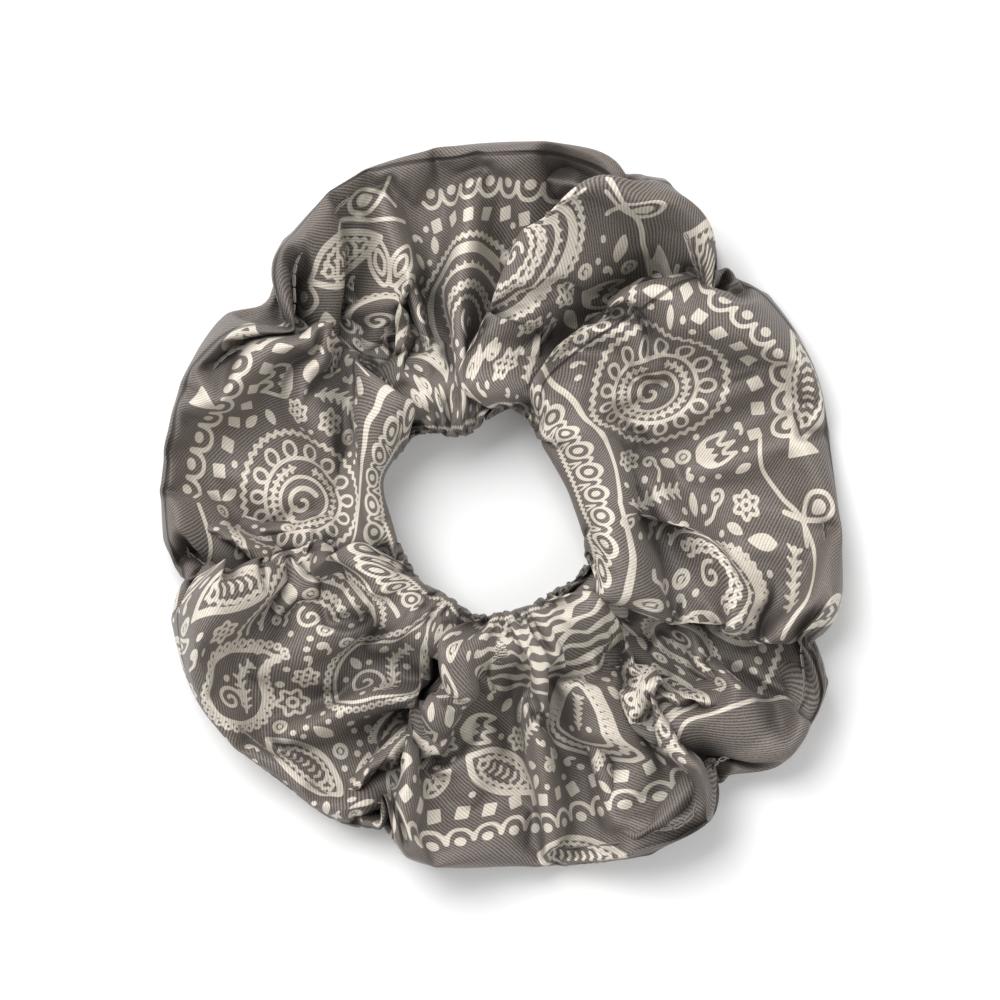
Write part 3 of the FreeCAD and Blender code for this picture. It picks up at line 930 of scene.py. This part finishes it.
# Where the closing seam runs, in mm along the strip from its crease. The strip's real length is measured
# between these distances from the hole edge.
CLOSING_OFFSET = -7.0
MEASURED_FROM, MEASURED_TO = 16.0, 48.0


def long_seam_v(u):
    """How far the long seam runs from the hole edge: at the rim, but rolled to the top beside one crease."""
    near = np.exp(-(((u - CREASE_U[2] - 12) / 22) ** 2))
    return STRIP_WIDTH / 2 + 1.0 - 5.0 * near


def closing_column(columns):
    """The grid's column that the closing seam runs along."""
    return round((CREASE_U[CLOSING_CREASE] + CLOSING_OFFSET) / STRIP_LENGTH * columns)


def read_print(cells, u, v):
    """The print's signed distance at fabric places in mm, between its cells."""
    x, y = u / CELL, v / CELL
    i, j = np.floor(x).astype(int), np.floor(y).astype(int)
    fx, fy = x - i, y - j
    value = 0.0
    for di, wx in ((0, 1 - fx), (1, fx)):
        for dj, wy in ((0, 1 - fy), (1, fy)):
            value = value + cells[(i + di) % cells.shape[0], (j + dj) % cells.shape[1]] * wx * wy
    return value


def cloth_places(points):
    """Each column's real place along the cloth in mm, from its upper side, with the end added last."""
    v = from_hole_edge(points.shape[1])
    upper = points[:, (v > MEASURED_FROM) & (v < MEASURED_TO)]
    steps = np.linalg.norm(np.roll(upper, -1, 0) - upper, axis=-1).mean(1)
    return np.concatenate([[0], np.cumsum(blurred(steps, 2.0))])


def lay_print(mesh, points):
    """Stores the print's distance, the fabric's places and the seams' distances on the mesh's corners."""
    columns, rows = points.shape[:2]
    places = cloth_places(points)
    length = places[-1]
    i, j = np.meshgrid(np.arange(columns), np.arange(rows), indexing="ij")
    corner_i = np.stack([i, i, i + 1, i + 1], -1)
    corner_j = np.stack([j, j + 1, j + 1, j], -1)
    u, v = places[corner_i], corner_j / rows * STRIP_WIDTH
    nominal = np.arange(columns + 1) / columns * STRIP_LENGTH
    along = lambda place: float(np.interp(place, nominal, places))
    distance = read_print(make_print(length, along), u, v)
    long_seam = v - long_seam_v(corner_i / columns * STRIP_LENGTH % STRIP_LENGTH)
    from_seam = (u - places[closing_column(columns)]) % length
    closing = np.minimum(from_seam, length - from_seam)
    for name, value in (("print", distance), ("long_seam", long_seam), ("closing_seam", closing)):
        layer = mesh.attributes.new(name, "FLOAT", "CORNER")
        layer.data.foreach_set("value", value.astype(np.float32).ravel())
    fabric = mesh.uv_layers.new(name="fabric")
    fabric.data.foreach_set("uv", np.stack([u, v], -1).astype(np.float32).ravel())


def make_cover(strip):
    """The whole cover as one closed, fine mesh."""
    points = refine(refine(fit_height(strip), REFINE_U, 0), REFINE_V, 1)
    points = clear_elastic(fit_outline(lap_folds(case_elastic(points))))
    points[..., 2] = np.maximum(points[..., 2], 0)
    cover = new_mesh("cover_fabric", points * MM, grid_faces(*points.shape[:2]))
    lay_print(cover.data, points)
    return cover, points


# ---- Materials ----

class Nodes:
    """Short ways to add nodes to one material."""

    def __init__(self, name, roughness):
        self.material = bpy.data.materials.new(name)
        self.material.use_nodes = True
        self.tree = self.material.node_tree
        self.shader = self.tree.nodes["Principled BSDF"]
        self.put({"Roughness": roughness}, self.shader)

    def put(self, values, node):
        """Links a node's inputs to sockets, or sets them to plain values."""
        for name, value in values.items():
            if isinstance(value, bpy.types.NodeSocket):
                self.tree.links.new(value, node.inputs[name])
            else:
                node.inputs[name].default_value = value

    def add(self, kind, output, inputs, **settings):
        """One of a new node's outputs."""
        node = self.tree.nodes.new("ShaderNode" + kind)
        set_all(node, settings)
        self.put(inputs, node)
        return node.outputs[output]

    def math(self, operation, a, b=0.0, c=0.0, clamp=False):
        return self.add("Math", 0, {0: a, 1: b, 2: c}, operation=operation, use_clamp=clamp)

    def mix(self, share, a, b):
        """Colour a where share is 0, and colour b where it is 1."""
        return self.add("Mix", 2, {0: share, 6: a, 7: b}, data_type="RGBA")

    def tint(self, colour, where, strength, towards):
        """A colour taken towards another where asked, as far as a strength."""
        return self.mix(self.math("MULTIPLY", where, strength), colour, towards)

    def ramp(self, value, low, high):
        """0 below low, 1 above high."""
        inputs = {"Value": value, "From Min": low, "From Max": high}
        return self.add("MapRange", "Result", inputs, interpolation_type="SMOOTHSTEP")

    def swing(self, value, size):
        """A value from 0 to 1 made to swing about 0."""
        return self.math("MULTIPLY", self.math("SUBTRACT", value, 0.5), size)

    def wave(self, place, period):
        """A sine of a place, from -1 to 1."""
        return self.math("SINE", self.math("MULTIPLY", place, 2 * math.pi / period))

    def attribute(self, name):
        return self.add("Attribute", "Fac", {}, attribute_name=name)

    def uv(self, name):
        return self.add("UVMap", "UV", {}, uv_map=name)

    def axis(self, vector, name):
        return self.add("SeparateXYZ", name, {0: vector})

    def scaled(self, vector, scale, turn=0.0):
        """Places scaled, and turned about Z by an angle in degrees."""
        inputs = {"Vector": vector, "Scale": scale, "Rotation": (0, 0, math.radians(turn))}
        return self.add("Mapping", "Vector", inputs)

    def noise(self, vector, scale, detail=2.0):
        return self.add("TexNoise", "Fac", {"Vector": vector, "Scale": scale, "Detail": detail})

    def openness(self, reach):
        """1 on open cloth, down to 0 deep in a fold, looking as far as reach in metres."""
        return self.add("AmbientOcclusion", "AO", {"Distance": reach}, samples=6, only_local=True)

    def bump(self, height, strength, distance):
        """The height as a bump on the surface."""
        inputs = {"Height": height, "Strength": strength, "Distance": distance}
        self.put({"Normal": self.add("Bump", "Normal", inputs)}, self.shader)

    def colour(self, value):
        """The surface's colour."""
        self.put({"Base Color": value}, self.shader)


GROUND_DARK, GROUND_LIGHT = (0.028, 0.023, 0.020, 1), (0.285, 0.246, 0.218, 1)
CREAM_DARK, CREAM_LIGHT = (0.46, 0.41, 0.35, 1), (0.88, 0.81, 0.70, 1)
CLOUDY = (0.12, 0.10, 0.09, 1)
# Painted shade: the near-black colours that the cloth is darkened towards deep in folds and along the seams.
FOLD_PAINTED_SHADE, SEAM_PAINTED_SHADE = (0.012, 0.010, 0.009, 1), (0.02, 0.017, 0.015, 1)
ELASTIC_DARK, ELASTIC_LIGHT = (0.42, 0.40, 0.36, 1), (0.82, 0.80, 0.75, 1)
THREAD_DARK, THREAD_LIGHT = (0.10, 0.085, 0.075, 1), (0.26, 0.23, 0.205, 1)
THREAD_WORN = (0.16, 0.14, 0.125, 1)
# The twill's ribs, how far the cream spreads past its drawn edge, and how far round the cloth is looked at
# for the painted shade in folds.
RIB_PERIOD, RIB_ANGLE = 0.54, 48
LINE_SPREAD = 0.125
FOLD_REACH = 7 * MM


def twill(n, fabric):
    """Diagonal ribs of uneven threads: how far each place stands up, and the threads' own noise."""
    wander = n.swing(n.noise(fabric, 0.35, 1.0), 0.3)
    turned = n.scaled(fabric, (1, 1, 1), RIB_ANGLE)
    wave = n.wave(n.math("ADD", n.axis(turned, "X"), wander), RIB_PERIOD)
    wave = n.math("MULTIPLY_ADD", wave, 0.5, 0.5)
    threads = n.noise(n.scaled(turned, (6.0, 3.2, 1)), 1.0)
    grain = n.ramp(threads, 0.3, 0.7)
    rib = n.math("ADD", n.math("MULTIPLY", wave, 0.62), n.math("MULTIPLY", grain, 0.38), clamp=True)
    return rib, threads


def printed_colour(n, rib, threads):
    """A taupe ground with cream printed on it, both lighter on the ribs, and lines a little frayed."""
    ground = n.mix(rib, GROUND_DARK, GROUND_LIGHT)
    cream = n.mix(rib, CREAM_DARK, CREAM_LIGHT)
    edge = n.math("ADD", n.attribute("print"), n.swing(threads, 0.22))
    return n.mix(n.ramp(edge, LINE_SPREAD + 0.05, LINE_SPREAD - 0.05), ground, cream)


def seam_lines(n):
    """1 along the long seam and the closing seam, and 0 elsewhere."""
    seam = n.ramp(n.math("ABSOLUTE", n.attribute("long_seam")), 0.55, 0.1)
    return n.math("MAXIMUM", seam, n.ramp(n.attribute("closing_seam"), 0.5, 0.1))


def cover_material():
    """Satin twill: diagonal ribs, a cream print, and painted shade darkening its folds and seams."""
    n = Nodes("printed_twill", 0.52)
    fabric = n.uv("fabric")
    rib, threads = twill(n, fabric)
    cloth = printed_colour(n, rib, threads)
    cloth = n.tint(cloth, n.ramp(n.noise(fabric, 0.06), 0.25, 0.75), 0.12, CLOUDY)
    # Painted shade: the cloth is darkened towards near black where an ambient-occlusion node finds it deep
    # in a fold.
    cloth = n.tint(cloth, n.ramp(n.openness(FOLD_REACH), 0.95, 0.25), 0.72, FOLD_PAINTED_SHADE)
    seams = seam_lines(n)
    # Painted shade: the cloth is darkened along the long seam and the closing seam, as shade in their
    # grooves; the bump below also sinks them.
    n.colour(n.tint(cloth, seams, 0.75, SEAM_PAINTED_SHADE))
    height = n.math("SUBTRACT", n.math("MULTIPLY", rib, 0.05), n.math("MULTIPLY", seams, 0.6))
    n.bump(height, 0.8, MM)
    n.put({"Sheen Weight": 0.08, "Sheen Roughness": 0.4, "Specular IOR Level": 0.3}, n.shader)
    return n.material


def elastic_material():
    """Knitted elastic: fine ribs along the band and short courses across it, in off-white."""
    n = Nodes("knitted_elastic", 0.75)
    band = n.uv("band")
    ribs, courses = n.wave(n.axis(band, "Y"), 0.75), n.wave(n.axis(band, "X"), 0.9)
    knit = n.math("ADD", n.math("MULTIPLY", ribs, 0.35), n.math("MULTIPLY", courses, 0.15))
    knit = n.math("ADD", n.math("ADD", knit, 0.5), n.swing(n.noise(band, 5.0, 4.0), 0.4), clamp=True)
    n.colour(n.mix(knit, ELASTIC_DARK, ELASTIC_LIGHT))
    n.bump(knit, 0.6, 0.15 * MM)
    return n.material


def thread_material():
    """Spun sewing thread: twisted plies with a little fuzz, in taupe."""
    n = Nodes("sewing_thread", 0.6)
    place = n.add("TexCoord", "Object", {})
    plies = n.noise(n.scaled(place, (4000, 4000, 4000)), 1.0)
    worn = n.noise(n.scaled(place, (150, 150, 150)), 1.0)
    n.colour(n.tint(n.mix(plies, THREAD_DARK, THREAD_LIGHT), worn, 0.3, THREAD_WORN))
    n.bump(plies, 0.5, 0.05 * MM)
    n.put({"Sheen Weight": 0.2}, n.shader)
    return n.material


def floor_material():
    """A plain matt white."""
    n = Nodes("floor_white", 0.8)
    n.colour((0.93, 0.93, 0.93, 1))
    return n.material


# ---- The elastic and the threads, inside the cover ----

BAND_RADIUS, BAND_HEIGHT, BAND_THICKNESS = 22.5, 6.0, 0.9
LAP_START, LAP_END, LAP_RISE = -15.0, 375.0, 1.1
SEAM_DEPTH, THREAD_RADIUS, THREAD_SIDE = 2.9, 0.14, 0.34
LONG_STITCHES, CLOSING_STITCHES, ZIGZAG_STITCHES = 176, 34, 12
ZIGZAG_HALF_ANGLE, ZIGZAG_HALF_HEIGHT = 11, 1.9


def make_elastic():
    """The elastic: a band sewn into a loop, with one end lapped over the other."""
    angles = np.linspace(LAP_START, LAP_END, 781)
    radius = BAND_RADIUS + LAP_RISE * ease(angles, 90, 270)
    radius = radius + 0.05 * np.sin(np.radians(angles * 40))
    turn = np.linspace(0, 2 * np.pi, 25)[:-1]
    square = lambda x: np.sign(x) * np.abs(x) ** 0.35
    out = BAND_THICKNESS / 2 * square(np.cos(turn)) * (1 + 0.06 * np.cos(turn * 12))
    up = BAND_HEIGHT / 2 * square(np.sin(turn))
    x, y = polar(radius[:, None] + out[None, :], angles[:, None])
    z = np.broadcast_to(ELASTIC_HEIGHT + up, x.shape)
    columns, rows = x.shape
    faces = grid_faces(columns, rows)[:(columns - 1) * rows]
    first, last = list(range(rows)), list(range((columns - 1) * rows, columns * rows))
    band = new_mesh("elastic_band", np.stack([x, y, z], -1) * MM, faces + [first, last[::-1]])
    along = np.radians(angles)[:, None] * BAND_RADIUS + 0 * x
    uv = np.stack([along, z], -1).reshape(-1, 2)
    corners = np.empty(len(band.data.loops), int)
    band.data.loops.foreach_get("vertex_index", corners)
    layer = band.data.uv_layers.new(name="band")
    layer.data.foreach_set("uv", uv[corners].astype(np.float32).ravel())
    return band


def tube_along(path, radius, sides=6):
    """Points and faces of a thin tube with closed ends along a path in mm."""
    way = unit(np.gradient(path, axis=0))
    side = unit(np.cross(way, np.roll(np.eye(3)[np.argmax(np.abs(way).mean(0))], 1)))
    turn = (np.arange(sides) / sides * 2 * np.pi)[:, None]
    spokes = side[:, None] * np.cos(turn) + np.cross(way, side)[:, None] * np.sin(turn)
    rings = path[:, None] + radius * spokes
    faces = []
    for i in range(len(path) - 1):
        for j in range(sides):
            a, b = i * sides + j, i * sides + (j + 1) % sides
            faces.append((a, b, b + sides, a + sides))
    faces.append(tuple(range(sides))[::-1])
    faces.append(tuple((len(path) - 1) * sides + j for j in range(sides)))
    return rings.reshape(-1, 3), faces


def make_thread(name, stitches, radius=THREAD_RADIUS):
    """One thread piece: a tube for each stitch."""
    points, faces, count = [], [], 0
    for stitch in stitches:
        ring, skin = tube_along(stitch, radius)
        points.append(ring)
        faces += [tuple(count + c for c in face) for face in skin]
        count += len(ring)
    return new_mesh(name, np.vstack(points) * MM, faces)


def stitch_run(line, across, height=THREAD_SIDE, share=0.84):
    """Stitches along a line of points: each rises off the seam on one side and dips into it at its ends."""
    stitches = []
    bow = np.array([0.0, 0.75, 1.0, 1.0, 1.0, 0.75, 0.0])
    at = np.array([0.0, 0.03, 0.2, 0.5, 0.8, 0.97, 1.0])
    for a, b, side in zip(line[:-1], line[1:], across[:-1]):
        middle, half = (a + b) / 2, (b - a) * share / 2
        stitches.append(middle + (2 * at - 1)[:, None] * half + (height * bow)[:, None] * side)
    return stitches


def inside_line(points, columns, rows):
    """Places just inside the cover at some grid columns and rows, and the cover's inward direction there."""
    nu, nv = points.shape[:2]
    low = blurred(points, 3.0)
    i, j = np.round(columns).astype(int) % nu, np.round(rows).astype(int) % nv
    du = low[(i + 4) % nu, j] - low[(i - 4) % nu, j]
    dv = low[i, (j + 4) % nv] - low[i, (j - 4) % nv]
    inward = unit(np.cross(du, dv))
    return low[i, j] + SEAM_DEPTH * inward, inward


def long_seam_threads(points):
    """Needle and bobbin thread along the long seam, just inside the rim."""
    nu, nv = points.shape[:2]
    columns = np.arange(LONG_STITCHES + 1) / LONG_STITCHES * nu
    u = columns / nu * STRIP_LENGTH
    rows = long_seam_v(u % STRIP_LENGTH) / STRIP_WIDTH * nv
    line, inward = inside_line(points, columns, rows)
    across = unit(np.cross(np.gradient(line, axis=0), inward))
    needle = make_thread("long_seam_needle_stitches", stitch_run(line, across))
    bobbin = make_thread("long_seam_bobbin_stitches", stitch_run(line, -across))
    return needle, bobbin


def closing_thread(points):
    """The thread that closes the loop, round the inside of the tube."""
    rows = np.arange(CLOSING_STITCHES + 1) / CLOSING_STITCHES * points.shape[1]
    columns = np.full(len(rows), closing_column(len(points)))
    line, inward = inside_line(points, columns, rows)
    return make_thread("closing_seam_stitches", stitch_run(line, inward))


def elastic_join_threads():
    """A zigzag through the elastic's lap: needle thread outside it and bobbin thread inside it."""
    angles = np.linspace(-ZIGZAG_HALF_ANGLE, ZIGZAG_HALF_ANGLE, ZIGZAG_STITCHES + 1)
    heights = ELASTIC_HEIGHT + ZIGZAG_HALF_HEIGHT * np.where(np.arange(len(angles)) % 2, 1, -1)
    pieces = []
    for kind, radius, side in (("needle", 24.2, 1), ("bobbin", 21.9, -1)):
        line = from_polar(radius, angles, heights)
        out = from_polar(side, angles, 0 * heights)
        pieces.append(make_thread(f"elastic_join_{kind}_stitches", stitch_run(line, out, 0.22), 0.12))
    return pieces


# ---- Everything put together ----

def finish_piece(piece, material, slot_name, *nodes):
    """Gives a piece its material, bakes its transform into its mesh, and hides the part's nodes that it
    stands for; slot_name is not used.
    """
    piece.data.materials.append(material)
    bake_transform(piece)
    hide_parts(*nodes)


def build():
    """The cover and what is inside it."""
    strip = gather()
    cover, points = make_cover(strip)
    finish_piece(cover, cover_material(), "cover", "cover_left", "cover_right")
    elastic_nodes = ("elastic_left", "elastic_right_under", "elastic_right_over")
    finish_piece(make_elastic(), elastic_material(), "elastic", *elastic_nodes)
    thread = thread_material()
    for kind, piece in zip(("needle", "bobbin"), long_seam_threads(points)):
        nodes = [f"long_seam_{kind}_thread_{side}" for side in ("left", "right")]
        finish_piece(piece, thread, "thread", *nodes)
    for kind, piece in zip(("needle", "bobbin"), elastic_join_threads()):
        finish_piece(piece, thread, "thread", f"elastic_join_{kind}_thread")
    finish_piece(closing_thread(points), thread, "thread", "closing_seam_thread")


# The soft lights: each one's name, its place and size in metres, and its power in watts.
LIGHTS = (("key", (-0.30, 0.42, 0.75), 0.6, 9.0), ("fill", (0.5, -0.35, 0.8), 0.8, 2.5))
WORLD_STRENGTH = 0.47
# The camera's place in metres and its lens in millimetres.
CAMERA_PLACE = (0.00244, 0.00261, 1.012)
CAMERA_LENS = 207


def add_light(name, place, size, power):
    """A square soft light aimed at the object."""
    light = bpy.data.lights.new(name, "AREA")
    light.size = size
    light.energy = power
    lamp = add_object(name, light)
    lamp.location = place
    lamp.rotation_euler = (-Vector(place)).to_track_quat("-Z", "Y").to_euler()


def stage():
    """Floor, soft light and a pale world."""
    floor = square_floor("floor", 1.5)
    floor.data.materials.append(floor_material())
    world = bpy.data.worlds.new("studio")
    bpy.context.scene.world = world
    world.use_nodes = True
    background = world.node_tree.nodes["Background"]
    background.inputs["Color"].default_value = (1, 1, 1, 1)
    background.inputs["Strength"].default_value = WORLD_STRENGTH
    for light in LIGHTS:
        add_light(*light)
    bpy.context.scene.view_settings.view_transform = "Standard"


def look_down():
    """The camera, straight above the part."""
    camera = bpy.data.cameras.new("camera")
    camera.sensor_width = 36
    camera.lens = CAMERA_LENS
    holder = add_object("camera", camera)
    holder.location = CAMERA_PLACE
    bpy.context.scene.camera = holder


build()
stage()
look_down()
